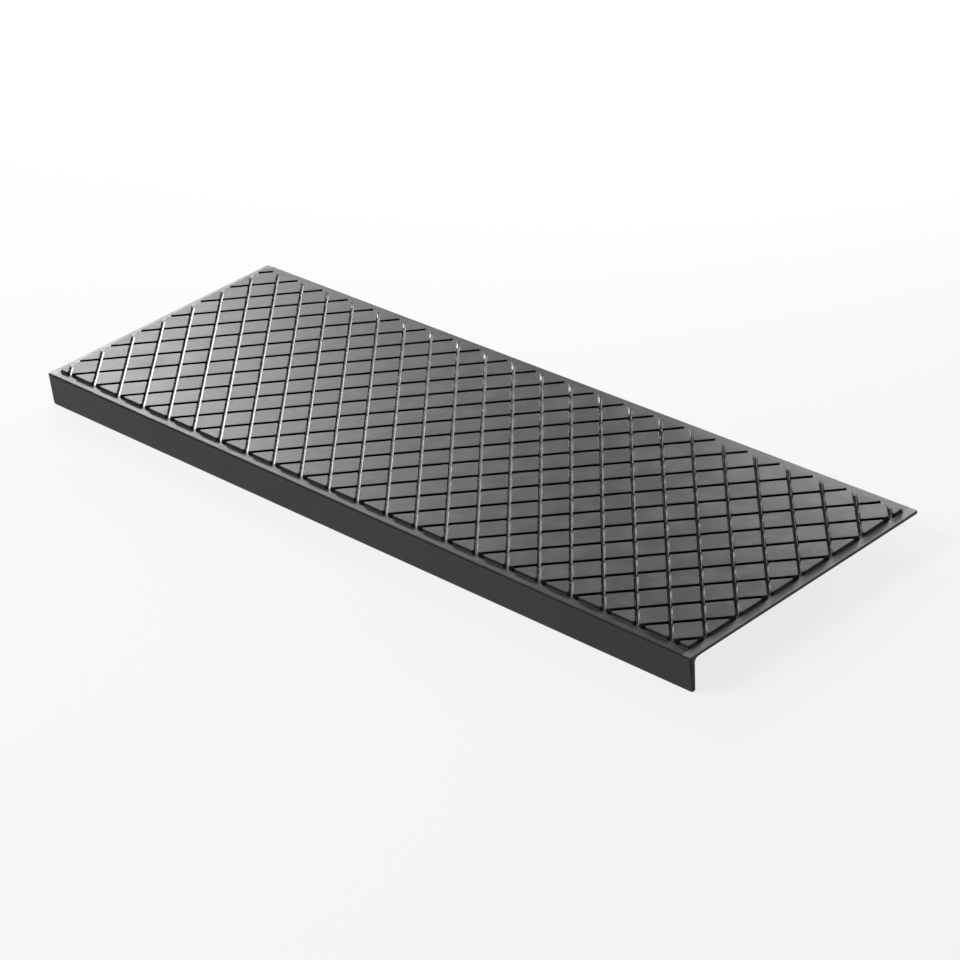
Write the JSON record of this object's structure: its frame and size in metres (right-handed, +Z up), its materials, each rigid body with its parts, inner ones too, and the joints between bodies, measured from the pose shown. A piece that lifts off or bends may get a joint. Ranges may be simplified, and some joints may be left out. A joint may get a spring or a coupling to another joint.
{
  "type": "anti slip stair tread mat",
  "caption": "Black rubber stair tread mat, a thin rectangular sheet with raised square pads set on a corner and a nose lip that hooks over the front edge of the step.",
  "frame": {"origin": "centre of the mat's plan outline, on the flat underside that lies on the step", "axes": "+X along the length of the mat, +Y from the nose lip towards the back of the step, +Z up, out of the tread pattern"},
  "size_m": [0.75, 0.25, 0.0328],
  "materials": {
    "rubber": "black moulded rubber, satin with a soft sheen"
  },
  "bodies": {
    "root": {"tread_mat": "rubber"}
  },
  "joints": []
}
